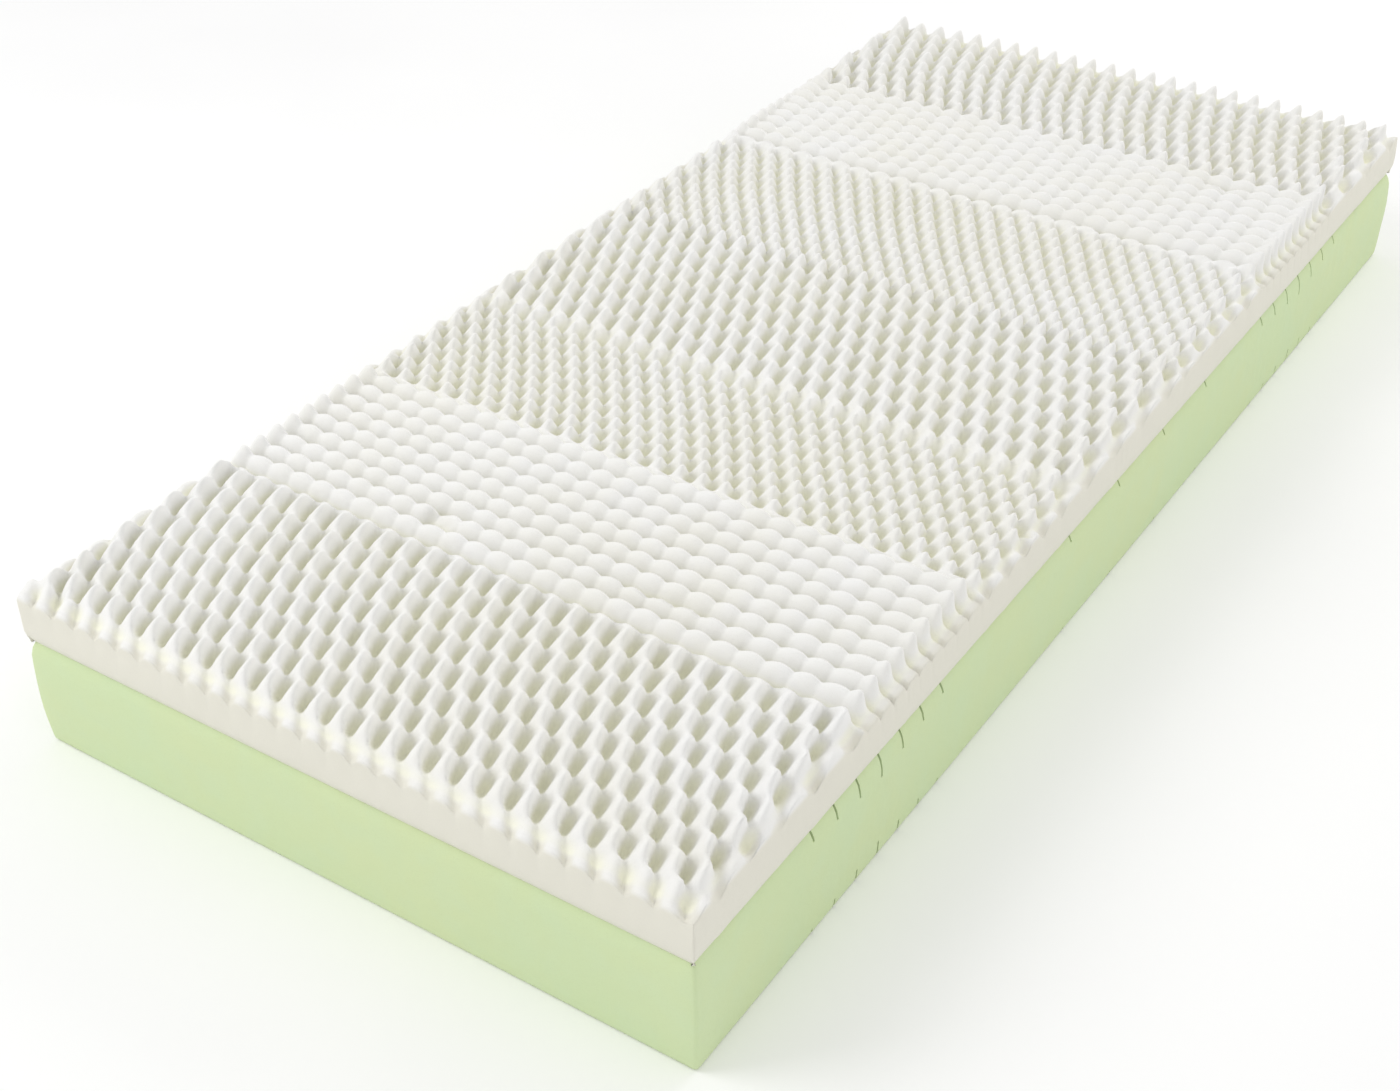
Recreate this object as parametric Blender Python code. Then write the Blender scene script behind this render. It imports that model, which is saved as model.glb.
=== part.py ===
"""Memory foam mattress, uncovered: a slit support core, an adhesive film and a profiled comfort layer.

Metres, +Z up. X runs across the width and Y along the length. The origin is the centre of the
underside, on the surface that the mattress lies on.
"""

import math
from typing import NamedTuple

import bmesh
import bpy

# Driving dimensions.
WIDTH = 0.900
LENGTH = 2.000
CORE_HEIGHT = 0.1445
FILM_THICKNESS = 0.0004
FILM_SETBACK = 0.010
CLEARANCE = 0.0003
SLAB_THICKNESS = 0.052
PEG_HEIGHT = 0.043
RIB_HEIGHT = 0.035
EDGE_FALL = 0.006

# The pegs stand in columns across the width, and every second row is shifted by half a pitch.
COLUMN_PITCH = 0.034

# Slits across the underside and the top of the core.
SLIT_WIDTH = 0.003

COMFORT_BASE = CORE_HEIGHT + 2 * CLEARANCE + FILM_THICKNESS
VALLEY_LEVEL = COMFORT_BASE + SLAB_THICKNESS


class Zone(NamedTuple):
    """A stretch of the comfort layer along Y with one pattern."""

    pattern: str
    start: float
    end: float
    rows: int


class SlitGroup(NamedTuple):
    """Evenly spaced slits, deepest in the middle of the group."""

    middle: float
    count: int
    pitch: float
    top_depths: tuple
    bottom_depths: tuple


ZONES = (
    Zone("pegs", -1.000, -0.690, 9),
    Zone("ribs", -0.690, -0.430, 9),
    Zone("pegs", -0.430, -0.190, 10),
    Zone("pegs", -0.190, 0.130, 8),
    Zone("pegs", 0.130, 0.410, 11),
    Zone("ribs", 0.410, 0.690, 10),
    Zone("pegs", 0.690, 1.000, 8),
)

# Depths are (at the group's ends, in its middle).
SLIT_GROUPS = (
    SlitGroup(-0.650, 7, 0.0455, (0.013, 0.030), (0.008, 0.022)),
    SlitGroup(0.025, 4, 0.1410, (0.009, 0.009), (0.007, 0.007)),
    SlitGroup(0.590, 7, 0.0495, (0.013, 0.030), (0.008, 0.022)),
)

# Height of a rib's section at evenly spaced points from groove to groove, as a share of its height.
RIB_SECTION = (0.0, 0.62, 0.93, 1.0, 0.93, 0.62)


def clear_scene():
    """Removes every object, so that the model starts from nothing."""
    for old in list(bpy.data.objects):
        bpy.data.objects.remove(old, do_unlink=True)


def foam_material(name, color, roughness):
    """Returns a matt Principled material."""
    material = bpy.data.materials.new(name)
    material.use_nodes = True
    shader = material.node_tree.nodes["Principled BSDF"]
    shader.inputs["Base Color"].default_value = (*color, 1.0)
    shader.inputs["Roughness"].default_value = roughness
    shader.inputs["Metallic"].default_value = 0.0
    return material


def add_object(name, shape, material):
    """Turns a bmesh into a named object with one material."""
    bmesh.ops.recalc_face_normals(shape, faces=shape.faces)
    mesh = bpy.data.meshes.new(name)
    shape.to_mesh(mesh)
    shape.free()
    mesh.materials.append(material)
    node = bpy.data.objects.new(name, mesh)
    bpy.context.collection.objects.link(node)
    return node


def add_slab(name, bottom, top, setback, material):
    """Adds a plain sheet that ends a little inside the mattress's four sides."""
    shape = bmesh.new()
    bmesh.ops.create_cube(shape, size=1.0)
    bmesh.ops.scale(shape, vec=(WIDTH - 2 * setback, LENGTH - 2 * setback, top - bottom), verts=shape.verts)
    bmesh.ops.translate(shape, vec=(0, 0, (top + bottom) / 2), verts=shape.verts)
    return add_object(name, shape, material)


def slit_places(depth_of):
    """Lists (place along Y, depth) for each slit, from the near end to the far end."""
    places = []
    for group in SLIT_GROUPS:
        shallow, deep = depth_of(group)
        half = (group.count - 1) / 2
        for index in range(group.count):
            share = 1 - abs(index - half) / half
            places.append((group.middle + (index - half) * group.pitch, shallow + (deep - shallow) * share))
    return places


def slit_outline(places, level, inward):
    """Returns the outline points (y, z) of one face of the core, stepping into each slit."""
    points = []
    for middle, depth in places:
        floor = level + inward * depth
        left = middle - SLIT_WIDTH / 2
        right = middle + SLIT_WIDTH / 2
        points += [(left, level), (left, floor), (right, floor), (right, level)]
    return points


def add_support_core(material):
    """Adds the core: its side outline, with the slits, drawn out across the width."""
    underside = slit_outline(slit_places(lambda group: group.bottom_depths), 0.0, 1)
    topside = slit_outline(slit_places(lambda group: group.top_depths), CORE_HEIGHT, -1)
    outline = [(-LENGTH / 2, 0.0), *underside, (LENGTH / 2, 0.0)]
    outline += [(LENGTH / 2, CORE_HEIGHT), *reversed(topside), (-LENGTH / 2, CORE_HEIGHT)]
    shape = bmesh.new()
    side = shape.faces.new([shape.verts.new((-WIDTH / 2, y, z)) for y, z in outline])
    drawn = bmesh.ops.extrude_face_region(shape, geom=[side])
    moved = [item for item in drawn["geom"] if isinstance(item, bmesh.types.BMVert)]
    bmesh.ops.translate(shape, vec=(WIDTH, 0, 0), verts=moved)
    return add_object("support_core", shape, material)


def column_places():
    """Lists the x places of the pegs, of the valleys between them and of the two cut sides."""
    half_pitch = COLUMN_PITCH / 2
    reach = math.floor(WIDTH / 2 / half_pitch)
    return [-WIDTH / 2, *[half_pitch * k for k in range(-reach, reach + 1)], WIDTH / 2]


def level_row(y, z, places=(-WIDTH / 2, WIDTH / 2)):
    """Returns a level line across the width, with a point at each place."""
    return [(x, y, z) for x in places]


def peg_row(y, shift):
    """Returns a row across the width that rises to each peg and falls to the valleys between."""
    row = []
    for x in column_places():
        wave = 0.5 + 0.5 * math.cos(2 * math.pi * (x / COLUMN_PITCH - 0.5 * shift))
        row.append((x, y, VALLEY_LEVEL + PEG_HEIGHT * wave))
    return row


def peg_rows(zone):
    """Lists a peg zone's rows, each shifted against the one before."""
    pitch = (zone.end - zone.start) / zone.rows
    return [peg_row(zone.start + (index + 0.5) * pitch, index % 2) for index in range(zone.rows)]


def rib_rows(zone):
    """Lists the rows along the ribs' sections, with a groove at both ends of the zone."""
    pitch = (zone.end - zone.start) / zone.rows
    rows = [level_row(zone.start, VALLEY_LEVEL, column_places())]
    for index in range(zone.rows):
        for step, share in enumerate(RIB_SECTION):
            y = zone.start + pitch * (index + step / len(RIB_SECTION))
            rows.append(level_row(y, VALLEY_LEVEL + RIB_HEIGHT * share))
    del rows[1]
    rows.append(level_row(zone.end, VALLEY_LEVEL, column_places()))
    return rows


def comfort_rows():
    """Lists the rows of the comfort layer's top surface, from the near end to the far end."""
    end_level = VALLEY_LEVEL - EDGE_FALL
    rows = [level_row(-LENGTH / 2, end_level, column_places())]
    for zone in ZONES:
        rows += peg_rows(zone) if zone.pattern == "pegs" else rib_rows(zone)
    rows.append(level_row(LENGTH / 2, end_level, column_places()))
    return rows


def stitch(shape, near, far):
    """Fills the strip between two rows with triangles, in the order of their x places."""
    i = 0
    j = 0
    while i < len(near) - 1 or j < len(far) - 1:
        near_next = near[min(i + 1, len(near) - 1)].co
        far_next = far[min(j + 1, len(far) - 1)].co
        take_near = near_next.x < far_next.x
        if math.isclose(near_next.x, far_next.x, abs_tol=1e-6):
            take_near = near_next.z + far[j].co.z < far_next.z + near[i].co.z
        if j == len(far) - 1 or (take_near and i < len(near) - 1):
            shape.faces.new((near[i], near[i + 1], far[j]))
            i += 1
        else:
            shape.faces.new((near[i], far[j + 1], far[j]))
            j += 1


def add_comfort_layer(material):
    """Adds the profiled sheet: pegs and ribs above one slab, cut straight at the four sides."""
    shape = bmesh.new()
    rows = [[shape.verts.new(point) for point in row] for row in comfort_rows()]
    for near, far in zip(rows, rows[1:]):
        stitch(shape, near, far)
    near_left = shape.verts.new((-WIDTH / 2, -LENGTH / 2, COMFORT_BASE))
    near_right = shape.verts.new((WIDTH / 2, -LENGTH / 2, COMFORT_BASE))
    far_right = shape.verts.new((WIDTH / 2, LENGTH / 2, COMFORT_BASE))
    far_left = shape.verts.new((-WIDTH / 2, LENGTH / 2, COMFORT_BASE))
    shape.faces.new((near_left, near_right, far_right, far_left))
    shape.faces.new((near_left, near_right, *reversed(rows[0])))
    shape.faces.new((far_left, far_right, *reversed(rows[-1])))
    shape.faces.new((near_left, far_left, *[row[0] for row in reversed(rows)]))
    shape.faces.new((near_right, far_right, *[row[-1] for row in reversed(rows)]))
    return add_object("comfort_layer", shape, material)


def main():
    """Builds the three pieces from the floor up."""
    clear_scene()
    green_foam = foam_material("green_foam", (0.60, 0.72, 0.44), 0.95)
    dried_glue = foam_material("dried_glue", (0.85, 0.83, 0.76), 0.60)
    white_foam = foam_material("white_foam", (0.86, 0.85, 0.80), 0.95)
    add_support_core(green_foam)
    film_bottom = CORE_HEIGHT + CLEARANCE
    add_slab("adhesive_film", film_bottom, film_bottom + FILM_THICKNESS, FILM_SETBACK, dried_glue)
    add_comfort_layer(white_foam)


main()
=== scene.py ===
"""Looks of a bare foam mattress: a slit green core under a white sheet cut into pegs and ribs.

Metres, +Z up. X runs across the width and Y along the length, with the origin at the middle of
the underside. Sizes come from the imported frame, and what it does not hold is a named field.
"""

import logging
import math
from dataclasses import dataclass
from enum import Enum
from typing import Optional, Sequence, Union

import bmesh
import bpy
import numpy as np
from mathutils import Matrix, Vector


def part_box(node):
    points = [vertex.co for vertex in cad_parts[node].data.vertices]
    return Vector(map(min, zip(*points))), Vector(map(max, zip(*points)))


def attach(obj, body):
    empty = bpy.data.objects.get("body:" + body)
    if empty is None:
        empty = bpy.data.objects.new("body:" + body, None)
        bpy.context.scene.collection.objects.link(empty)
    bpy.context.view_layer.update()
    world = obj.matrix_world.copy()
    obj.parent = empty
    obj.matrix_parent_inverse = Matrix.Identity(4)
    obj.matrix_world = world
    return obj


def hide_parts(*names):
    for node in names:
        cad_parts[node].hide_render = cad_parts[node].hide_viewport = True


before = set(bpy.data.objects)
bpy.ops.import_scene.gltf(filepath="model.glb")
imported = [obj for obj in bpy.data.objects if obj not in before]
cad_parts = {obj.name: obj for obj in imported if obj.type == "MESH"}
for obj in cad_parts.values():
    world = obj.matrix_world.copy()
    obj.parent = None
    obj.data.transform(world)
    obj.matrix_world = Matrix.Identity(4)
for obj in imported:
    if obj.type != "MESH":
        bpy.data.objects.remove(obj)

Number = Union[int, float]
Color = tuple[float, float, float]
Point = tuple[float, float, float]
Pair = tuple[float, float]
Array = np.ndarray

BODY = "root"
log = logging.getLogger("mattress")


# ---- Shader graphs ----


class Wire:
    """An output socket that takes part in Python expressions."""

    def __init__(self, graph: "Graph", socket: bpy.types.NodeSocket) -> None:
        """Keeps the socket and the graph that new nodes go into."""
        self.graph = graph
        self.socket = socket

    def _math(self, operation: str, *values: Union["Wire", Number]) -> "Wire":
        """Adds a Math node on these values and returns its result."""
        return self.graph.add("ShaderNodeMath", {"operation": operation}, *values)

    def __add__(self, other: Union["Wire", Number]) -> "Wire":
        """Returns self + other."""
        return self._math("ADD", self, other)

    __radd__ = __add__

    def __sub__(self, other: Union["Wire", Number]) -> "Wire":
        """Returns self - other."""
        return self._math("SUBTRACT", self, other)

    def __rsub__(self, other: Number) -> "Wire":
        """Returns other - self."""
        return self._math("SUBTRACT", other, self)

    def __mul__(self, other: Union["Wire", Number]) -> "Wire":
        """Returns self * other."""
        return self._math("MULTIPLY", self, other)

    __rmul__ = __mul__

    def remap(self, low: float, high: float, to_low: float = 0.0, to_high: float = 1.0) -> "Wire":
        """Maps a range smoothly onto another and holds the ends.

        Args:
            low: Value that gives to_low.
            high: Value that gives to_high.
            to_low: Result at and before low.
            to_high: Result at and past high.

        Returns:
            The mapped value.
        """
        settings = {"interpolation_type": "SMOOTHSTEP"}
        return self.graph.add("ShaderNodeMapRange", settings, self, low, high, to_low, to_high)


class Graph:
    """Builds one material's node tree."""

    def __init__(self, name: str) -> None:
        """Makes an empty material with this name."""
        self.material = bpy.data.materials.new(name)
        self.material.use_nodes = True
        self.tree = self.material.node_tree
        self.tree.nodes.clear()

    def add(
        self,
        kind: str,
        settings: Optional[dict] = None,
        *values: Union[Wire, Number, Sequence],
        output: Union[int, str] = 0,
        **named: Union[Wire, Number, Sequence],
    ) -> Wire:
        """Adds any node, sets it up and fills its sockets.

        Args:
            kind: The node's type name.
            settings: The node's own properties, set before its sockets are filled.
            *values: Values or links for the first sockets, in order.
            output: Which output to return.
            **named: Values or links by socket name, with _ for a space.

        Returns:
            The chosen output.
        """
        node = self.tree.nodes.new(kind)
        for key, value in (settings or {}).items():
            setattr(node, key, value)
        for index, value in enumerate(values):
            self._fill(node.inputs[index], value)
        for key, value in named.items():
            self._fill(node.inputs[key.replace("_", " ")], value)
        return Wire(self, node.outputs[output] if len(node.outputs) else None)

    def _fill(self, socket: bpy.types.NodeSocket, value: Union[Wire, Number, Sequence]) -> None:
        """Links a wire to a socket, or sets the socket's own value."""
        if isinstance(value, Wire):
            self.tree.links.new(value.socket, socket)
        else:
            socket.default_value = value

    def blend(
        self, share: Union[Wire, Number], first: Union[Wire, Color], second: Union[Wire, Color]
    ) -> Wire:
        """Mixes two colours.

        Args:
            share: 0 gives the first colour and 1 the second.
            first: A colour or a link.
            second: A colour or a link.

        Returns:
            The mixed colour.
        """
        node = self.tree.nodes.new("ShaderNodeMix")
        node.data_type = "RGBA"
        self._fill(node.inputs[0], share)
        for socket, value in ((node.inputs[6], first), (node.inputs[7], second)):
            self._fill(socket, value if isinstance(value, Wire) else (*value, 1.0))
        return Wire(self, node.outputs[2])

    def place(self) -> Wire:
        """Returns the point in the object's own metres."""
        return self.add("ShaderNodeTexCoord", output="Object")

    def axis(self, point: Wire, name: str) -> Wire:
        """Returns the X, Y or Z part of a point."""
        return self.add("ShaderNodeSeparateXYZ", None, point, output=name)

    def noise(self, point: Wire, per_metre: float, detail: float) -> Wire:
        """Adds fractal noise.

        Args:
            point: Where the noise is read.
            per_metre: Features per metre.
            detail: Octaves.

        Returns:
            A value near 0.5 that varies over the surface.
        """
        return self.add("ShaderNodeTexNoise", None, Vector=point, Scale=per_metre, Detail=detail)

    def cells(self, point: Wire, per_metre: float) -> Wire:
        """Returns the distance to the nearest cell centre in a random foam, in cells."""
        return self.add("ShaderNodeTexVoronoi", None, Vector=point, Scale=per_metre)

    def bump(self, height: Wire, distance: float, strength: float, under: Optional[Wire] = None) -> Wire:
        """Turns a height into a normal.

        Args:
            height: Height from 0 to 1.
            distance: What a height of 1 stands for, in metres.
            strength: Share of the effect, from 0 to 1.
            under: A normal that this one adds to, or None.

        Returns:
            The bumped normal.
        """
        named = {"Strength": strength, "Distance": distance, "Height": height}
        if under is not None:
            named["Normal"] = under
        return self.add("ShaderNodeBump", None, **named)

    def finish(self, **sockets: Union[Wire, Number, Sequence]) -> bpy.types.Material:
        """Closes the graph with a Principled shader and returns the material."""
        shader = self.add("ShaderNodeBsdfPrincipled", None, **sockets)
        self.add("ShaderNodeOutputMaterial", None, shader)
        return self.material


# ---- Finishes ----


@dataclass(frozen=True)
class Mottle:
    """A soft random mask over a surface.

    Attributes:
        per_metre: Features per metre.
        detail: Octaves of the noise.
        span: Noise values at which the mask is empty and full.
        share: Value of the full mask.
    """

    per_metre: float
    detail: float
    span: Pair
    share: float = 1.0

    def mask(self, graph: Graph, point: Wire) -> Wire:
        """Returns the mask's value at a point."""
        return graph.noise(point, self.per_metre, self.detail).remap(*self.span) * self.share


@dataclass(frozen=True)
class SheetPaintedLightAndShade:
    """Painted light and shade of the cut sheet: a painted yellow between its pegs for light scattered in
    the foam, and painted shade down its sides.

    Attributes:
        deep: Colour of the painted light between the pegs, a yellow for light scattered through the
            foam.
        side: Colour of the painted shade on the cut sides.
        low: Height where the painted light between the pegs is full, in metres.
        high: Height from which the foam shows its main colour without painted light, in metres.
        share: How much of the painted light the low places take.
        side_x: Distances from the middle along X between which the sides set in.
        side_y: Distances from the middle along Y between which the sides set in.
        side_top: Heights above low between which the painted side shade ends.
    """

    deep: Color
    side: Color
    low: float
    high: float
    share: float
    side_x: Pair = (0.438, 0.446)
    side_y: Pair = (0.987, 0.995)
    side_top: Pair = (0.003, 0.012)

    def over(self, graph: Graph, point: Wire, color: Wire) -> Wire:
        """Lays the painted light between the pegs and the painted shade of the sides over another
        colour.

        Args:
            graph: The material's graph.
            point: Point on the piece.
            color: Colour so far.

        Returns:
            The colour with both in it.
        """
        height = graph.axis(point, "Z")
        deep = 1.0 - height.remap(self.low, self.high)
        away = graph.add("ShaderNodeVectorMath", {"operation": "ABSOLUTE"}, point)
        inner = graph.axis(away, "X").remap(*self.side_x, 1.0, 0.0)
        inner = inner * graph.axis(away, "Y").remap(*self.side_y, 1.0, 0.0)
        # Painted light: the low places between the pegs take a yellow that stands in for light scattered
        # through the foam.
        color = graph.blend(deep * inner * self.share, color, self.deep)
        # Painted shade: the cut sides, below the rim, take a darker colour.
        start, stop = self.side_top
        side_painted_shade = (1.0 - inner) * (1.0 - height.remap(self.low + start, self.low + stop))
        return graph.blend(side_painted_shade, color, self.side)


@dataclass(frozen=True)
class FoamFinish:
    """Open-cell foam: a matt skin of fine cut cells with soft changes of tone.

    Attributes:
        name: Material name.
        tone: Main colour.
        warm: Colour of the warmer clouds.
        cool: Colour of the cooler patches.
        cell: Size of a foam cell in metres.
        painted_light_and_shade: Painted light and shade by height, or None.
        clouds: Where the warmer clouds lie.
        patches: Where the cooler patches lie.
        pore_rim: Distances from a cell's centre between which it darkens, in cells.
        pore_shade: How much of the painted shade colour a dark pore takes.
        pore_shade_tone: The colour of the painted shade in the pores, as a share of the warm colour.
        relief: Depth of the cut cells in metres.
        relief_strength: Share of that relief that shows.
        dents: Soft dents per metre.
        dent: Depth of a soft dent in metres.
        dent_strength: Share of that depth that shows.
        roughness: Lowest and highest roughness.
        specular: Strength of the highlights.
        sheen: Strength of the soft glow at grazing angles.
    """

    name: str
    tone: Color
    warm: Color
    cool: Color
    cell: float = 0.0012
    painted_light_and_shade: Optional[SheetPaintedLightAndShade] = None
    clouds: Mottle = Mottle(4.0, 3.0, (0.35, 0.65), 0.35)
    patches: Mottle = Mottle(23.0, 2.0, (0.38, 0.68), 0.22)
    pore_rim: Pair = (0.55, 0.95)
    pore_shade: float = 0.10
    pore_shade_tone: float = 0.72
    relief: float = 0.00025
    relief_strength: float = 0.55
    dents: float = 60.0
    dent: float = 0.0012
    dent_strength: float = 0.35
    roughness: Pair = (0.86, 0.98)
    specular: float = 0.18
    sheen: float = 0.12

    def material(self) -> bpy.types.Material:
        """Builds the material."""
        graph = Graph(self.name)
        point = graph.place()
        color = graph.blend(self.clouds.mask(graph, point), self.tone, self.warm)
        color = graph.blend(self.patches.mask(graph, point), color, self.cool)
        # The cut sheet's painted light and shade, where it has any.
        if self.painted_light_and_shade is not None:
            color = self.painted_light_and_shade.over(graph, point, color)
        pores = graph.cells(point, 1.0 / self.cell)
        grain = graph.noise(point, 0.4 / self.cell, 3.0)
        # Painted shade in the open cells: the foam darkens between these distances from each cell's
        # centre.
        pore_painted_shade = pores.remap(*self.pore_rim) * self.pore_shade
        color = graph.blend(pore_painted_shade, color, tuple(self.pore_shade_tone * part for part in self.warm))
        skin = graph.bump(pores * 0.6 + grain * 0.4, self.relief, self.relief_strength)
        dents = graph.noise(point, self.dents, 2.0)
        return graph.finish(
            Base_Color=color,
            Roughness=grain.remap(0.3, 0.7, *self.roughness),
            Specular_IOR_Level=self.specular,
            Sheen_Weight=self.sheen,
            Sheen_Roughness=0.6,
            Normal=graph.bump(dents, self.dent, self.dent_strength, skin),
        )


@dataclass(frozen=True)
class GlueFinish:
    """Dried sprayed contact adhesive: a fine web of satin strings on a clear film.

    Attributes:
        name: Material name.
        film: Colour of the thin film.
        strings: Colour of the thicker sprayed strings.
        per_metre: Meshes of the web per metre.
        thickness: Width of a string, as a share of a mesh.
        relief: How far the strings stand out, in metres.
        relief_strength: Share of that relief that shows.
        roughness: Roughness of the film.
        string_roughness: How much rougher the strings are.
    """

    name: str
    film: Color
    strings: Color
    per_metre: float = 160.0
    thickness: float = 0.12
    relief: float = 0.0003
    relief_strength: float = 0.6
    roughness: float = 0.45
    string_roughness: float = 0.2

    def material(self) -> bpy.types.Material:
        """Builds the material."""
        graph = Graph(self.name)
        edges = {"feature": "DISTANCE_TO_EDGE"}
        web = graph.add("ShaderNodeTexVoronoi", edges, Vector=graph.place(), Scale=self.per_metre)
        strings = 1.0 - web.remap(0.0, self.thickness)
        return graph.finish(
            Base_Color=graph.blend(strings, self.film, self.strings),
            Roughness=self.roughness + strings * self.string_roughness,
            Normal=graph.bump(strings, self.relief, self.relief_strength),
        )


WHITE_FOAM = FoamFinish(
    name="white_foam",
    tone=(0.88, 0.876, 0.856),
    warm=(0.855, 0.84, 0.765),
    cool=(0.90, 0.90, 0.925),
    # Painted light and shade: a yellow for light scattered between the pegs and a darker colour for
    # shade down the cut sides.
    painted_light_and_shade=SheetPaintedLightAndShade(
        deep=(0.92, 0.915, 0.74),
        side=(0.78, 0.76, 0.67),
        low=0.198,
        high=0.219,
        share=0.85,
    ),
)
GREEN_FOAM = FoamFinish(
    name="green_foam",
    tone=(0.626, 0.745, 0.445),
    warm=(0.68, 0.74, 0.41),
    cool=(0.61, 0.75, 0.50),
    cell=0.0014,
)
DRIED_GLUE = GlueFinish(name="dried_glue", film=(0.84, 0.82, 0.72), strings=(0.93, 0.92, 0.86))


# ---- Shape helpers ----


def smoothstep(value: Array, low: float, high: float) -> Array:
    """Rises smoothly from 0 at low to 1 at high."""
    share = np.clip((value - low) / (high - low), 0.0, 1.0)
    return share * share * (3.0 - 2.0 * share)


def drift(x: Array, y: Array, cell: float, seed: int) -> Array:
    """Returns smooth random values from -1 to 1 on a plane.

    Args:
        x: Places along X in metres.
        y: Places along Y in metres.
        cell: Distance over which the values change, in metres.
        seed: Picks one of many fields.

    Returns:
        Values with the shape of x and y.
    """
    table = np.random.default_rng(seed).uniform(-1.0, 1.0, (257, 257))
    u = x / cell + 128.0
    v = y / cell + 128.0
    i = np.floor(u).astype(int) % 256
    j = np.floor(v).astype(int) % 256
    s = smoothstep(u - np.floor(u), 0.0, 1.0)
    t = smoothstep(v - np.floor(v), 0.0, 1.0)
    near = table[i, j] * (1 - s) + table[i + 1, j] * s
    far = table[i, j + 1] * (1 - s) + table[i + 1, j + 1] * s
    return near * (1 - t) + far * t


@dataclass(frozen=True)
class Stray:
    """Smooth random unevenness.

    Attributes:
        amount: Largest departure either way.
        cell: Distance over which it changes, in metres.
        seed: Picks one of many fields.
    """

    amount: float
    cell: float
    seed: int

    def at(self, x: Array, y: Array) -> Array:
        """Returns the departure at each place."""
        return self.amount * drift(x, y, self.cell, self.seed)


def graded(low: float, high: float, step: float, rim: Sequence[float]) -> Array:
    """Returns evenly spaced places with a few closer ones at both ends.

    Args:
        low: First place.
        high: Last place.
        step: Distance between places in the middle.
        rim: Distances of the closer places from each end.

    Returns:
        The places in order.
    """
    inner = np.linspace(low + rim[-1], high - rim[-1], max(2, round((high - low) / step)))
    near = [low + part for part in (0.0, *rim[:-1])]
    far = [high - part for part in (*reversed(rim[:-1]), 0.0)]
    return np.array([*near, *inner, *far])


def linked(name: str, data: bpy.types.ID) -> bpy.types.Object:
    """Makes an object from its data and puts it into the scene."""
    item = bpy.data.objects.new(name, data)
    bpy.context.collection.objects.link(item)
    return item


def closed_below(ring: Array, count_x: int, count_y: int) -> list[list[int]]:
    """Closes a rectangle of points with strips from one long side to the other.

    Args:
        ring: Indices of the points round it, from the near left corner to the near right and on.
        count_x: Points along a short end.
        count_y: Points along a long side.

    Returns:
        The faces, which look down.
    """
    near = ring[:count_x].tolist()
    right = ring[count_x - 1 : count_x - 1 + count_y].tolist()
    far = ring[count_x + count_y - 2 : 2 * count_x + count_y - 2].tolist()
    left = [near[0], *reversed(ring[2 * count_x + count_y - 3 :].tolist())]
    strips = [list(face) for face in zip(left[1:-2], left[2:-1], right[2:-1], right[1:-2])]
    first = [left[1], right[1], *reversed(near)]
    last = [right[-2], left[-2], *reversed(far)]
    return [first, *strips, last]


def new_piece(
    name: str, points: Array, faces: list, material: bpy.types.Material
) -> bpy.types.Object:
    """Makes a smooth-shaded mesh object.

    Args:
        name: Name of the piece.
        points: Corner points, one row each.
        faces: Corner indices of each face.
        material: Finish of the whole piece.

    Returns:
        The linked object.
    """
    mesh = bpy.data.meshes.new(name)
    mesh.from_pydata(points.tolist(), [], faces)
    mesh.materials.append(material)
    mesh.shade_smooth()
    mesh.update()
    return linked(name, mesh)


def declare(piece: bpy.types.Object, node: str) -> None:
    """Puts a foam piece on the body in place of a CAD node.

    Args:
        piece: The finished piece.
        node: The CAD node that it stands for.
    """
    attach(piece, BODY)
    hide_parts(node)
    log.info("%s: %d faces", piece.name, len(piece.data.polygons))


# ---- The white sheet ----


class Pattern(Enum):
    """The two ways in which the sheet's top is cut."""

    PEGS = "pegs"
    RIBS = "ribs"


@dataclass(frozen=True)
class Band:
    """A stretch of the sheet along Y with one spacing.

    Attributes:
        pattern: How the stretch is cut.
        end: Where the stretch ends along Y.
        pitch: Distance between rows of pegs or between ribs.
        relief: Height from valley to tip.
        column: Distance between columns.
        lean: How far a column moves along X for each metre along Y.
        peg: Where one peg, or one bump on a rib, stands.
    """

    pattern: Pattern
    end: float
    pitch: float
    relief: float
    column: float
    lean: float
    peg: Pair


TORN_GRAIN = Stray(1.0, 0.0045, 21)


@dataclass(frozen=True)
class Flaw:
    """A local lump or hollow in the cut surface.

    Attributes:
        place: Its middle.
        reach: How far it spreads along X and Y.
        rise: Height added in the middle; hollows have a negative rise.
        crumbs: Height of torn crumbs in it.
    """

    place: Pair
    reach: Pair
    rise: float
    crumbs: float = 0.0

    def added(self, x: Array, y: Array) -> Array:
        """Returns the height that it adds at each place."""
        away = ((x - self.place[0]) / self.reach[0]) ** 2
        away = away + ((y - self.place[1]) / self.reach[1]) ** 2
        share = np.exp(-(away ** 2))
        return share * (self.rise + self.crumbs * TORN_GRAIN.at(x, y))


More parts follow.
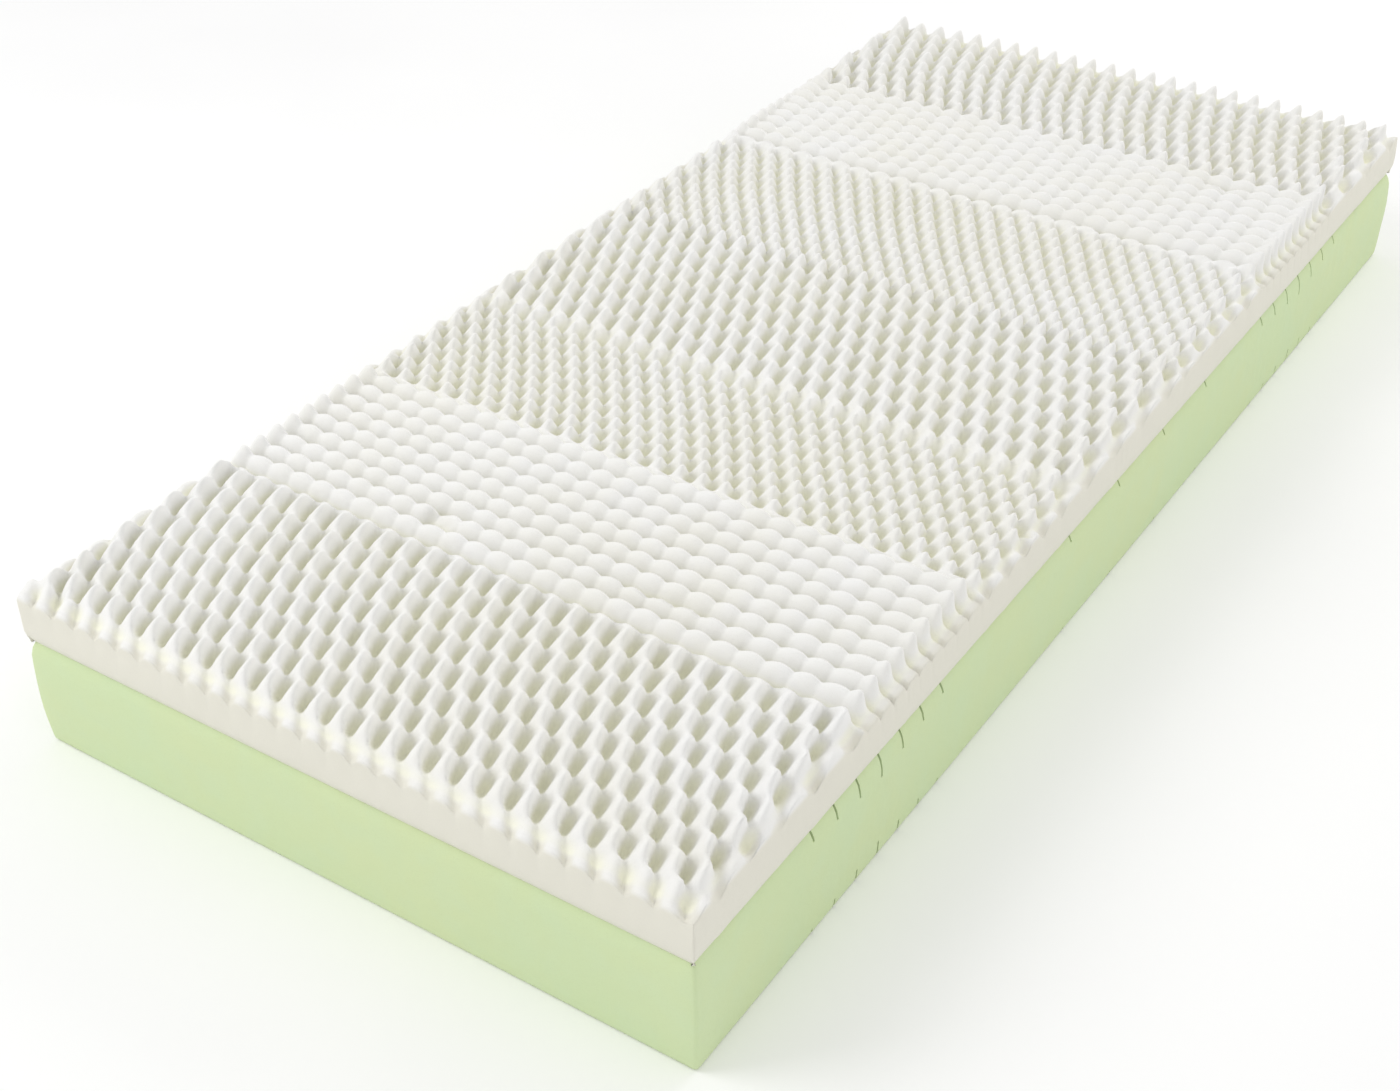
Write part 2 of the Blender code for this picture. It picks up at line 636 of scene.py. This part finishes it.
@dataclass(frozen=True)
class CutShape:
    """How the cut shapes pegs, pits and ribs.

    Attributes:
        saddle: Height of the saddles between the tallest pegs, as a share of a peg's height.
        saddle_drop: How much lower the saddles between the shortest pegs are.
        shortest: Relief of the shortest pegs.
        growth: Relief from the shortest to the tallest pegs.
        head: How narrow the tips are; 1 gives a plain wave.
        pit: How narrow the pits are; less than 1 gives wide pits with crisp rims.
        reach: Furthest that the wave goes down into a pit and up to a tip.
        skew: How far the wave rises on the saddles along one diagonal and falls along the other,
            where the pegs are tallest.
        crest: How full the ribs are; less than 1 gives narrower creases between them.
        notch: Depth of the notches across a rib, in units of the wave.
        tilt: How far the pegs lean along X and Y, as a share of their height.
        pivot: Height above the valleys about which they lean.
    """

    saddle: float = 0.61
    saddle_drop: float = 0.12
    shortest: float = 0.026
    growth: float = 0.010
    head: float = 1.1
    pit: float = 0.65
    reach: Pair = (1.05, 1.2)
    skew: float = 0.22
    crest: float = 0.9
    notch: float = 0.45
    tilt: Pair = (0.38, -0.08)
    pivot: float = 0.018

    def tallness(self, relief: Array) -> Array:
        """Returns where a relief lies from the shortest pegs' to the tallest pegs', from 0 to 1."""
        return np.clip((relief - self.shortest) / self.growth, 0.0, 1.0)

    def pegs(self, across: Array, rows: Array, tall: Array) -> Array:
        """Works out the wave of the pegs, from -1 in the pits to 1 on the tips.

        Args:
            across: Columns counted along X.
            rows: Rows counted along Y.
            tall: How tall the pegs are, from 0 to 1.

        Returns:
            The wave at each place.
        """
        wave = np.cos(2 * math.pi * across) * np.cos(math.pi * rows)
        return wave - self.skew * tall * np.sin(2 * math.pi * across) * np.sin(math.pi * rows)

    def ribs(self, across: Array, count: Array) -> Array:
        """Works out the wave of the notched ribs.

        Args:
            across: Columns of bumps counted along X.
            count: Ribs counted along Y.

        Returns:
            The wave at each place, 1 on the bumps.
        """
        notch = 1.0 - np.abs(np.cos(math.pi * across)) ** self.crest
        return 2.0 * np.abs(np.cos(math.pi * count)) ** self.crest - 1.0 - self.notch * notch

    def level(self, wave: Array, tall: Array) -> Array:
        """Turns the wave into a height.

        Args:
            wave: The wave at each place.
            tall: How tall the pegs are, from 0 to 1.

        Returns:
            The height above the valleys, as a share of the relief.
        """
        head = np.clip(wave, 0.0, self.reach[1]) ** self.head
        pit = np.clip(-wave, 0.0, self.reach[0]) ** self.pit
        saddle = self.saddle - self.saddle_drop * (1.0 - tall)
        return saddle + (1 - saddle) * head - saddle * pit


@dataclass(frozen=True)
class EdgeShape:
    """How the cut top changes near the sheet's outline.

    Attributes:
        bow: How far the rows near the ends bend along Y towards the long sides.
        bow_x: Distances from the middle along X between which they bend.
        bow_end: Distance from the ends within which they bend.
        swell: Share by which the outermost pegs along the long sides are taller.
        swell_place: Distance of those pegs from the long sides.
        swell_reach: How far to both sides of it pegs are taller.
        rim: Height of the rim above the valleys.
        rim_stray: Unevenness of that height.
        peg_keep: Share of the height above the rim that pegs keep at the long sides.
        rib_loss: How much less of it ribs keep.
        side_span: Distances from the long sides between which the height comes back.
        end_keep: Share of the height above the rim that is kept at the ends.
        end_span: Distances from the ends between which the height comes back.
        round_depth: How far the outline is rounded down.
        round_reach: Distance from the outline over which it is rounded.
        upright: Distance from the outline over which the lean of the pegs sets in.
    """

    bow: float = 0.010
    bow_x: Pair = (0.24, 0.45)
    bow_end: float = 0.12
    swell: float = 0.20
    swell_place: float = 0.028
    swell_reach: float = 0.013
    rim: float = 0.004
    rim_stray: Stray = Stray(0.0015, 0.05, 7)
    peg_keep: float = 0.42
    rib_loss: float = 0.34
    side_span: Pair = (0.004, 0.025)
    end_keep: float = 0.25
    end_span: Pair = (0.006, 0.026)
    round_depth: float = 0.0022
    round_reach: float = 0.0035
    upright: float = 0.015

    def taller(self, side: Array) -> Array:
        """Returns how much taller pegs are at these distances from the long sides, as a factor."""
        return 1.0 + self.swell * np.exp(-(((side - self.swell_place) / self.swell_reach) ** 2))

    def kept(self, side: Array, end: Array, ribs: Array) -> Array:
        """Works out how much of the height above the rim is kept.

        Args:
            side: Distances from the long sides.
            end: Distances from the ends.
            ribs: Share of ribs, from 0 to 1.

        Returns:
            The share kept at each place.
        """
        ledge = self.peg_keep - self.rib_loss * ribs
        at_side = ledge + (1 - ledge) * smoothstep(side, *self.side_span)
        return at_side * (self.end_keep + (1 - self.end_keep) * smoothstep(end, *self.end_span))


@dataclass(frozen=True)
class SideShape:
    """The sheet's cut sides, with shares from 0 at the bottom to 1 at the rim.

    Attributes:
        belly: How far the sides stand out.
        pinch: How far they draw in just above the glue line.
        pinch_span: Share of their height over which they draw in.
        levels: Heights of the mesh rings, as shares, from the top down.
        stray: Unevenness of the sides.
        lip: How far the sides hang down over the film's edge.
        lip_inset: Distances from the outline of the lip's inner edge, at its foot and above.
    """

    belly: float = 0.0022
    pinch: float = 0.0040
    pinch_span: float = 0.26
    levels: tuple[float, ...] = (0.93, 0.8, 0.65, 0.5, 0.36, 0.24, 0.14, 0.06, 0.0)
    stray: Stray = Stray(0.0007, 0.06, 8)
    lip: float = 0.0007
    lip_inset: Pair = (0.0075, 0.0095)

    def offset(self, share: Array) -> Array:
        """Returns how far the sides stand out at these shares of their height."""
        belly = self.belly * np.sin(math.pi * np.clip(share, 0, 1) ** 0.8)
        return belly - self.pinch * (1 - smoothstep(share, 0.0, self.pinch_span)) ** 1.5


@dataclass
class ComfortSheet:
    """The profiled memory foam sheet.

    Attributes:
        low: Lowest corner of the sheet's space.
        high: Highest corner of the sheet's space.
        valley: Foam thickness under the valleys.
        step: Distance between mesh points.
        close: Distances from the outline of the closer mesh points.
        blur: Half the length over which one stretch turns into the next.
        cut: Shape of pegs and ribs.
        edge: Shape of the top near the outline.
        side: Shape of the sides.
        wander_x: How far the cut wanders along X.
        wander_y: How far the cut wanders along Y.
        swing: By what share the wave's height varies.
        lumps: How far the wave is lifted or lowered.
        bands: The stretches from the near end to the far end.
        flaws: Torn, missing and swollen places.
    """

    low: Vector
    high: Vector
    valley: float = 0.053
    step: float = 0.0026
    close: tuple[float, ...] = (0.0007, 0.0018, 0.0032)
    blur: float = 0.012
    cut: CutShape = CutShape()
    edge: EdgeShape = EdgeShape()
    side: SideShape = SideShape()
    wander_x: tuple[Stray, ...] = (Stray(0.0014, 0.11, 1), Stray(0.0007, 0.035, 2))
    wander_y: tuple[Stray, ...] = (Stray(0.0016, 0.13, 3), Stray(0.0008, 0.040, 4))
    swing: Stray = Stray(0.06, 0.045, 5)
    lumps: Stray = Stray(0.03, 0.021, 6)
    bands: tuple[Band, ...] = (
        Band(Pattern.PEGS, -0.690, 0.0363, 0.036, 0.0334, -0.130, (0.0036, -0.8561)),
        Band(Pattern.RIBS, -0.430, 0.0279, 0.036, 0.0328, -0.060, (0.0040, -0.5600)),
        Band(Pattern.PEGS, -0.190, 0.0233, 0.031, 0.0326, -0.033, (0.0079, -0.3204)),
        Band(Pattern.PEGS, 0.130, 0.0397, 0.035, 0.0334, -0.046, (-0.0003, 0.0025)),
        Band(Pattern.PEGS, 0.412, 0.0245, 0.032, 0.0338, -0.024, (-0.0006, 0.2352)),
        Band(Pattern.RIBS, 0.690, 0.0279, 0.036, 0.0343, -0.036, (0.0167, 0.5270)),
        Band(Pattern.PEGS, 1.000, 0.0396, 0.038, 0.0357, 0.150, (0.0048, 0.8518)),
    )
    flaws: tuple[Flaw, ...] = (
        Flaw((-0.135, -0.652), (0.020, 0.013), -0.016, 0.003),
        Flaw((0.175, -0.637), (0.080, 0.007), -0.010, 0.005),
        Flaw((0.020, 0.416), (0.460, 0.006), -0.009, 0.001),
        Flaw((-0.443, -0.985), (0.014, 0.020), 0.010),
        Flaw((-0.400, -0.975), (0.020, 0.010), -0.006, 0.003),
        Flaw((0.443, -0.300), (0.006, 0.004), -0.006),
        Flaw((0.300, 0.640), (0.030, 0.006), -0.008, 0.003),
    )

    def stretches(self) -> list[tuple[Band, float, float]]:
        """Lists each band with its start and end."""
        starts = [self.low.y, *[band.end for band in self.bands[:-1]]]
        return [(band, start, band.end) for band, start in zip(self.bands, starts)]

    def columns(self, y: Array) -> tuple[Array, Array]:
        """Follows one column of pegs along the length.

        Args:
            y: Places along Y.

        Returns:
            The column's X place and the distance to the next column, at each place.
        """
        knots = np.array([band.peg[1] for band in self.bands])
        places = np.array([band.peg[0] for band in self.bands])
        leans = np.array([band.lean for band in self.bands])
        pitches = np.interp(y, knots, [band.column for band in self.bands])
        slot = np.clip(np.searchsorted(knots, y) - 1, 0, len(knots) - 2)
        gap = knots[slot + 1] - knots[slot]
        t = np.clip((y - knots[slot]) / gap, 0.0, 1.0)
        place = (1 + 2 * t) * (1 - t) ** 2 * places[slot] + t * (1 - t) ** 2 * gap * leans[slot]
        place += t * t * (3 - 2 * t) * places[slot + 1] - t * t * (1 - t) * gap * leans[slot + 1]
        before = np.minimum(y - knots[0], 0.0)
        after = np.maximum(y - knots[-1], 0.0)
        place += before * leans[0] + after * leans[-1]
        return place, pitches

    def shares(self, y: Array) -> list[Array]:
        """Returns how much of each band there is at each place along Y."""
        starts = [start for _, start, _ in self.stretches()[1:]]
        rises = [smoothstep(y, start - self.blur, start + self.blur) for start in starts]
        rises = [np.ones_like(y), *rises, np.zeros_like(y)]
        return [rise - following for rise, following in zip(rises, rises[1:])]

    def counts(self, y: Array) -> tuple[Array, Array, Array, Array]:
        """Counts rows of pegs and ribs along the length.

        Args:
            y: Places along Y.

        Returns:
            The peg row count, the rib count, the share of ribs and the relief, at each place.
        """
        rows = np.zeros_like(y)
        rib_count = np.zeros_like(y)
        ribs = np.zeros_like(y)
        relief = np.zeros_like(y)
        pegs = np.full_like(y, 1e-9)
        carried = 0.0
        last = None
        for (band, start, _), share in zip(self.stretches(), self.shares(y)):
            relief += share * band.relief
            if band.pattern is Pattern.RIBS:
                ribs += share
                rib_count += share * (y - band.peg[1]) / band.pitch
                last = None
                continue
            if last is not None:
                before = (start - last.peg[1]) / last.pitch + carried
                carried = 2 * round((before - (start - band.peg[1]) / band.pitch) / 2)
            pegs += share
            rows += share * ((y - band.peg[1]) / band.pitch + carried)
            last = band
        return rows / pegs, rib_count / np.maximum(ribs, 1e-9), ribs, relief

    def wandered(self, x: Array, y: Array) -> tuple[Array, Array]:
        """Finds which place of the even pattern ended up at each place of the sheet.

        Args:
            x: Places across the width.
            y: Places along the length.

        Returns:
            The places in the even pattern along X and along Y.
        """
        end = self.high.y - np.abs(y)
        bow = self.edge.bow * smoothstep(np.abs(x), *self.edge.bow_x)
        bow = bow * (1 - smoothstep(end, 0.0, self.edge.bow_end)) * np.sign(y)
        even_x = x + sum(stray.at(x, y) for stray in self.wander_x)
        even_y = y + sum(stray.at(x, y) for stray in self.wander_y) + bow
        return even_x, even_y

    def heights(self, x: Array, y: Array) -> Array:
        """Works out the height of the cut top.

        Args:
            x: Places across the width.
            y: Places along the length.

        Returns:
            The height above the floor at each place.
        """
        side = self.high.x - np.abs(x)
        end = self.high.y - np.abs(y)
        even_x, even_y = self.wandered(x, y)
        place, pitch = self.columns(y)
        across = (even_x - place) / pitch
        rows, rib_count, ribs, relief = self.counts(even_y)
        tall = self.cut.tallness(relief)
        wave = self.cut.pegs(across, rows, tall) * (1 - ribs)
        wave = wave + self.cut.ribs(across, rib_count) * ribs
        wave = wave * (1.0 + self.swing.at(x, y)) + self.lumps.at(x, y)
        floor = self.low.z + self.valley
        top = floor + relief * self.cut.level(wave, tall) * self.edge.taller(side)
        rim = floor + self.edge.rim + self.edge.rim_stray.at(x, y)
        lifted = np.clip(top - rim, 0, None) * self.edge.kept(side, end, ribs)
        top = rim + lifted + np.clip(top - rim, None, 0)
        for flaw in self.flaws:
            top += flaw.added(x, y)
        rounded = 1 - smoothstep(np.minimum(side, end), 0.0, self.edge.round_reach)
        return top - self.edge.round_depth * rounded

    def surface(self) -> Array:
        """Returns the points of the cut top: rows along Y of points along X."""
        xs = graded(self.low.x, self.high.x, self.step, self.close)
        ys = graded(self.low.y, self.high.y, self.step, self.close)
        y, x = np.meshgrid(ys, xs, indexing="ij")
        z = self.heights(x, y)
        inward = np.minimum(self.high.x - np.abs(x), self.high.y - np.abs(y))
        free = smoothstep(inward, 0.0, self.edge.upright)
        above = (z - self.low.z - self.valley - self.cut.pivot) * free
        return np.stack([x + self.cut.tilt[0] * above, y + self.cut.tilt[1] * above, z], -1)

    def outward(self, outline: Array) -> Array:
        """Returns the level direction out of the sheet at each point of its outline."""
        facing = np.zeros_like(outline)
        for axis in (0, 1):
            facing[:, axis] += np.isclose(outline[:, axis], self.high[axis])
            facing[:, axis] -= np.isclose(outline[:, axis], self.low[axis])
        return facing / np.maximum(np.linalg.norm(facing, axis=1, keepdims=True), 1e-9)

    def side_rings(self, outline: Array) -> list[Array]:
        """Builds the rings of points that follow below the top's outline.

        Args:
            outline: Points of the outline, in order.

        Returns:
            The rings from the top down, then the two of the lip's inner edge.
        """
        outward = self.outward(outline)
        foot = self.low.z - self.side.lip
        rings = []
        for share in self.side.levels:
            ring = outline.copy()
            ring[:, 2] = foot + (outline[:, 2] - self.low.z + self.side.lip) * share
            stray = self.side.stray.at(outline[:, 0] + outline[:, 1], ring[:, 2] * 3.0)
            offset = self.side.offset(np.full((len(outline), 1), share))
            ring += outward * (offset + stray[:, None] * min(1.0, share * 5))
            rings.append(ring)
        half = np.array([self.high.x, self.high.y])
        for inset, lift in zip(self.side.lip_inset, (0.0, self.side.lip)):
            ring = outline.copy()
            ring[:, :2] = outline[:, :2] * (1.0 - inset / half)
            ring[:, 2] = foot + lift
            rings.append(ring)
        return rings

    def build(self) -> bpy.types.Object:
        """Builds the closed sheet."""
        surface = self.surface()
        count_y, count_x, _ = surface.shape
        top = surface.reshape(-1, 3)
        index = np.arange(len(top)).reshape(count_y, count_x)
        quads = np.stack([index[:-1, :-1], index[:-1, 1:], index[1:, 1:], index[1:, :-1]], -1)
        faces = quads.reshape(-1, 4).tolist()
        loop = np.concatenate([index[0, :-1], index[:-1, -1], index[-1, :0:-1], index[:0:-1, 0]])
        sides = self.side_rings(top[loop])
        rings = [loop]
        for number in range(len(sides)):
            start = len(top) + number * len(loop)
            rings.append(np.arange(start, start + len(loop)))
        for upper, lower in zip(rings, rings[1:]):
            faces += np.stack([upper, lower, np.roll(lower, -1), np.roll(upper, -1)], -1).tolist()
        faces += closed_below(rings[-1], count_x, count_y)
        points = np.concatenate([top, *sides])
        return new_piece("comfort_sheet", points, faces, WHITE_FOAM.material())


# ---- The green core ----


@dataclass(frozen=True)
class SlitGroup:
    """Evenly spaced slits, deepest in the middle of the group.

    Attributes:
        middle: Middle of the group along Y.
        count: How many slits it has.
        pitch: Distance between slits.
        top: Depths from above at the group's ends and in its middle.
        underside: Depths from below at the group's ends and in its middle.
    """

    middle: float
    count: int
    pitch: float
    top: Pair
    underside: Pair


@dataclass(frozen=True)
class SoftSides:
    """The block's soft sides, with shares from 0 at the underside to 1 at the top.

    Attributes:
        bulge: How far the sides stand out half-way up.
        foot: How far they draw in at the underside.
        foot_span: Share of the height over which they do.
        neck: How far they draw in at the top, under the sheet.
        neck_start: Share of the height from which they do.
        stray: Unevenness of the sides.
    """

    bulge: float = 0.0035
    foot: float = 0.0026
    foot_span: float = 0.03
    neck: float = 0.0052
    neck_start: float = 0.86
    stray: Stray = Stray(0.0009, 0.09, 11)

    def offset(self, share: float, plan: Array, z: float) -> Array:
        """Works out how far the sides stand out at one height.

        Args:
            share: The height, as a share.
            plan: Outline of the block.
            z: The height in metres.

        Returns:
            The offset at each point of the outline.
        """
        rise = math.sin(math.pi * share)
        foot = self.foot * (1 - min(1.0, share / self.foot_span)) ** 2
        neck = self.neck * max(0.0, (share - self.neck_start) / (1 - self.neck_start)) ** 2.2
        stray = self.stray.at(plan[:, 0] + plan[:, 1] * 0.7, np.full(len(plan), z * 2.0))
        return self.bulge * rise ** 0.8 - foot - neck + stray * rise


@dataclass
class SupportCore:
    """The slit block of support foam.

    Attributes:
        low: Lowest corner of the core's space.
        high: Highest corner of the core's space.
        slit: Width of a slit.
        corner: Radius of the upright corners.
        step: Distance between mesh points round the block.
        overshoot: How far the slit cutters reach past the sides, both sides taken together.
        crease: Angle from which an edge is sharp, in degrees.
        sides: Shape of the sides.
        levels: Heights of the mesh rings, as shares of the block's height.
        groups: The slits.
    """

    low: Vector
    high: Vector
    slit: float = 0.003
    corner: float = 0.004
    step: float = 0.012
    overshoot: float = 0.04
    crease: float = 50.0
    sides: SoftSides = SoftSides()
    levels: tuple[float, ...] = (
        0.0, 0.006, 0.02, 0.05, 0.12, 0.22, 0.34, 0.48, 0.62, 0.76, 0.87, 0.94, 0.975, 0.993, 1.0
    )
    groups: tuple[SlitGroup, ...] = (
        SlitGroup(-0.650, 7, 0.0455, (0.013, 0.030), (0.008, 0.022)),
        SlitGroup(0.025, 4, 0.1410, (0.009, 0.009), (0.007, 0.007)),
        SlitGroup(0.590, 7, 0.0495, (0.013, 0.030), (0.008, 0.022)),
    )

    def outline(self) -> tuple[Array, Array]:
        """Returns the block's plan outline and which way each point moves when the sides swell."""
        half_x = self.high.x - self.corner
        half_y = self.high.y - self.corner
        centres = ((half_x, -half_y), (half_x, half_y), (-half_x, half_y), (-half_x, -half_y))
        points = []
        outward = []
        for turn, (x, y) in enumerate(centres):
            start = (turn - 1) * math.pi / 2
            for part in np.linspace(0.0, math.pi / 2, 5):
                angle = start + part
                points.append((x + self.corner * math.cos(angle), y + self.corner * math.sin(angle)))
                outward.append((math.copysign(1.0, x), math.copysign(1.0, y)))
            run = 2 * (half_y if turn % 2 == 0 else half_x)
            steps = max(2, round(run / self.step))
            bend_x, bend_y = points[-1]
            facing = (math.cos(start + math.pi / 2), math.sin(start + math.pi / 2))
            for k in range(1, steps):
                gone = run * k / steps
                points.append((bend_x - facing[1] * gone, bend_y + facing[0] * gone))
                outward.append(facing)
        return np.array(points), np.array(outward)

    def block(self) -> bpy.types.Object:
        """Builds the uncut block with soft sides."""
        plan, outward = self.outline()
        count = len(plan)
        rings = []
        for share in self.levels:
            z = self.low.z + (self.high.z - self.low.z) * share
            offset = self.sides.offset(share, plan, z)
            rings.append(np.column_stack([plan + outward * offset[:, None], np.full(count, z)]))
        top = (len(rings) - 1) * count
        faces = []
        for base in range(0, top, count):
            for k in range(count):
                n = (k + 1) % count
                faces.append((base + k, base + n, base + count + n, base + count + k))
        faces.append(list(range(count - 1, -1, -1)))
        faces.append(list(range(top, top + count)))
        return new_piece("support_block", np.concatenate(rings), faces, GREEN_FOAM.material())

    def cutter(self) -> bpy.types.Object:
        """Builds one thin box for each slit."""
        shape = bmesh.new()
        reach = 2 * self.high.x + self.overshoot
        for group in self.groups:
            half = (group.count - 1) / 2
            for k in range(group.count):
                share = 1 - abs(k - half) / half
                y = group.middle + (k - half) * group.pitch
                for (shallow, deep), level in (
                    (group.top, self.high.z),
                    (group.underside, self.low.z),
                ):
                    depth = shallow + (deep - shallow) * share
                    made = bmesh.ops.create_cube(shape, size=1.0)["verts"]
                    bmesh.ops.scale(shape, vec=(reach, self.slit, 2 * depth), verts=made)
                    bmesh.ops.translate(shape, vec=(0, y, level), verts=made)
        mesh = bpy.data.meshes.new("slit_cutter")
        shape.to_mesh(mesh)
        shape.free()
        return linked("slit_cutter", mesh)

    def build(self) -> bpy.types.Object:
        """Builds the core and cuts its slits."""
        block = self.block()
        cutter = self.cutter()
        cut = block.modifiers.new("slits", "BOOLEAN")
        cut.operation = "DIFFERENCE"
        cut.solver = "EXACT"
        cut.object = cutter
        graph = bpy.context.evaluated_depsgraph_get()
        mesh = bpy.data.meshes.new_from_object(block.evaluated_get(graph))
        mesh.name = "support_block"
        block.modifiers.clear()
        block.data = mesh
        bpy.data.objects.remove(cutter, do_unlink=True)
        mesh.set_sharp_from_angle(angle=math.radians(self.crease))
        return block


# ---- The studio ----


@dataclass(frozen=True)
class Lamp:
    """A square soft box.

    Attributes:
        name: Name of the lamp.
        place: Where it hangs.
        target: What it points at.
        size: Side length in metres.
        power: Power in watts.
        color: Colour of the light.
    """

    name: str
    place: Point
    target: Point
    size: float
    power: float
    color: Color = (1.0, 1.0, 1.0)

    def hang(self) -> None:
        """Adds the lamp to the scene."""
        data = bpy.data.lights.new(self.name, "AREA")
        data.size = self.size
        data.energy = self.power
        data.color = self.color
        lamp = linked(self.name, data)
        lamp.location = self.place
        aim = Vector(self.target) - Vector(self.place)
        lamp.rotation_euler = aim.to_track_quat("-Z", "Y").to_euler()


@dataclass
class Studio:
    """A pale floor, soft lights and the camera.

    Attributes:
        azimuth: Where the camera stands round the mattress, in degrees from the foot end.
        elevation: How far the camera looks down, in degrees.
        roll: How far the camera leans, in degrees.
        stand: Where the camera stands, in metres.
        lens: Focal length on the sensor below, in millimetres.
        sensor: Sensor width in millimetres.
        clip: Nearest and furthest distances that the camera sees, in metres.
        floor_reach: How far the floor reaches from the middle, in metres.
        floor_gap: How far the floor lies under the mattress, in metres.
        floor_tones: The floor's two close greys.
        floor_mottle: How the floor changes between them.
        daylight: Strength of the even light all round.
        lamps: The soft boxes.
    """

    azimuth: float = 34.15
    elevation: float = 35.63
    roll: float = -1.01
    stand: Point = (1.168, -2.037, 1.527)
    lens: float = 51.24
    sensor: float = 36.0
    clip: Pair = (0.05, 60.0)
    floor_reach: float = 14.0
    floor_gap: float = 0.0005
    floor_tones: tuple[Color, Color] = ((0.95, 0.95, 0.95), (0.97, 0.97, 0.97))
    floor_mottle: Mottle = Mottle(1.5, 2.0, (0.3, 0.7))
    daylight: float = 0.75
    lamps: tuple[Lamp, ...] = (
        Lamp("key_light", (-2.6, -2.6, 3.4), (0, -0.2, 0.1), 2.4, 70.0),
        Lamp("back_light", (1.2, 3.4, 2.6), (0, 0.2, 0.1), 2.0, 38.0, (1.0, 0.99, 0.97)),
        Lamp("fill_light", (3.2, -1.4, 2.2), (0, 0, 0.1), 2.4, 8.0),
    )

    def floor(self) -> None:
        """Lays a wide pale floor just under the mattress."""
        mesh = bpy.data.meshes.new("floor")
        far = self.floor_reach
        corners = ((-far, -far), (far, -far), (far, far), (-far, far))
        mesh.from_pydata([(x, y, -self.floor_gap) for x, y in corners], [], [(0, 1, 2, 3)])
        graph = Graph("studio_floor")
        color = graph.blend(self.floor_mottle.mask(graph, graph.place()), *self.floor_tones)
        mesh.materials.append(graph.finish(Base_Color=color, Roughness=0.85, Specular_IOR_Level=0.1))
        linked("floor", mesh)

    def world(self) -> None:
        """Fills the room with even white light."""
        world = bpy.data.worlds.new("studio")
        bpy.context.scene.world = world
        world.use_nodes = True
        background = world.node_tree.nodes["Background"]
        background.inputs["Color"].default_value = (1.0, 1.0, 1.0, 1.0)
        background.inputs["Strength"].default_value = self.daylight

    def camera(self) -> None:
        """Places the camera above the front right corner."""
        data = bpy.data.cameras.new("camera")
        data.lens = self.lens
        data.sensor_width = self.sensor
        data.clip_start, data.clip_end = self.clip
        bpy.context.scene.view_settings.view_transform = "Standard"
        turn = math.radians(self.azimuth)
        tilt = math.radians(self.elevation)
        level = math.cos(tilt)
        back = Vector((math.sin(turn) * level, -math.cos(turn) * level, math.sin(tilt)))
        facing = (-back).to_track_quat("-Z", "Y").to_matrix().to_4x4()
        lean = Matrix.Rotation(math.radians(self.roll), 4, "Z")
        camera = linked("camera", data)
        camera.matrix_world = Matrix.Translation(self.stand) @ facing @ lean
        bpy.context.scene.camera = camera

    def build(self) -> None:
        """Sets up the whole studio."""
        self.floor()
        self.world()
        for lamp in self.lamps:
            lamp.hang()
        self.camera()


def main() -> None:
    """Builds the mattress and its studio."""
    logging.basicConfig(level=logging.INFO, format="%(name)s: %(message)s")
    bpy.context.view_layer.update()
    core_low, core_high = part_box("support_core")
    core = SupportCore(core_low, core_high).build()
    declare(core, "support_core")
    sheet_low, sheet_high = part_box("comfort_layer")
    sheet = ComfortSheet(sheet_low, sheet_high).build()
    declare(sheet, "comfort_layer")
    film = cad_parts["adhesive_film"]
    film.material_slots[0].material = DRIED_GLUE.material()
    Studio().build()


if __name__ == "__main__":
    main()
